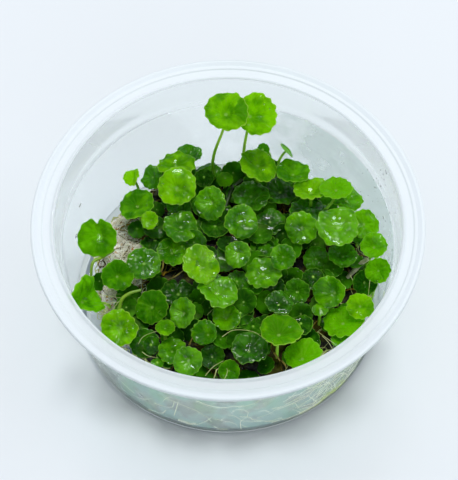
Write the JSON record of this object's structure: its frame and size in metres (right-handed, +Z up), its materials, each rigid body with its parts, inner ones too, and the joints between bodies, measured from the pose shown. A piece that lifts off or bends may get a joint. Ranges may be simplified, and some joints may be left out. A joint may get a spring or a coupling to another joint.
{
  "type": "whorled pennywort in a culture tub",
  "caption": "Clump of round, scalloped pennywort leaves on thin stalks, growing from a root block in a round clear plastic tub with a wide flat rim.",
  "frame": {"origin": "middle of the tub's foot, on the surface that it stands on", "axes": "+Z up out of the tub's mouth; -Y towards the viewer of the picture, whose near side of the plant is the lower one; X to the right"},
  "size_m": [0.117, 0.117, 0.062],
  "materials": {
    "clear_plastic": "clear moulded polypropylene, slightly milky, with a frosted rim",
    "root_block": "wet mineral wool matted with brown and pale roots",
    "creeping_stem": "smooth green-brown stem",
    "young_leaf": "glossy light green leaf, wet",
    "mature_leaf": "glossy mid-green leaf, wet",
    "shaded_leaf": "glossy dark green leaf, wet"
  },
  "bodies": {
    "root": {"culture_tub": "clear_plastic", "root_block": "root_block", "creeping_stem_back": "creeping_stem", "creeping_stem_right": "creeping_stem", "leaf_01": "young_leaf", "leaf_02": "young_leaf", "leaf_03": "shaded_leaf", "leaf_04": "shaded_leaf", "leaf_05": "shaded_leaf", "leaf_06": "shaded_leaf", "leaf_07": "shaded_leaf", "leaf_08": "shaded_leaf", "leaf_09": "shaded_leaf", "leaf_10": "mature_leaf", "leaf_11": "mature_leaf", "leaf_12": "mature_leaf", "leaf_13": "mature_leaf", "leaf_14": "mature_leaf", "leaf_15": "mature_leaf", "leaf_16": "shaded_leaf", "leaf_17": "shaded_leaf", "leaf_18": "mature_leaf", "leaf_19": "mature_leaf", "leaf_20": "shaded_leaf", "leaf_21": "mature_leaf", "leaf_22": "mature_leaf", "leaf_23": "shaded_leaf", "leaf_24": "mature_leaf", "leaf_25": "mature_leaf", "leaf_26": "mature_leaf", "leaf_27": "mature_leaf", "leaf_28": "mature_leaf", "leaf_29": "mature_leaf", "leaf_30": "mature_leaf", "leaf_31": "mature_leaf", "leaf_32": "mature_leaf", "leaf_33": "mature_leaf", "leaf_34": "mature_leaf", "leaf_35": "young_leaf", "leaf_36": "young_leaf", "leaf_37": "young_leaf", "leaf_38": "mature_leaf", "leaf_39": "mature_leaf", "leaf_40": "mature_leaf", "leaf_41": "mature_leaf", "leaf_42": "mature_leaf", "leaf_43": "mature_leaf", "leaf_44": "young_leaf", "leaf_45": "young_leaf", "leaf_46": "mature_leaf", "leaf_47": "young_leaf", "leaf_48": "mature_leaf", "leaf_49": "mature_leaf", "leaf_50": "young_leaf", "leaf_51": "mature_leaf", "leaf_52": "mature_leaf", "leaf_53": "young_leaf", "leaf_54": "young_leaf", "leaf_55": "young_leaf", "leaf_56": "young_leaf"}
  },
  "joints": []
}
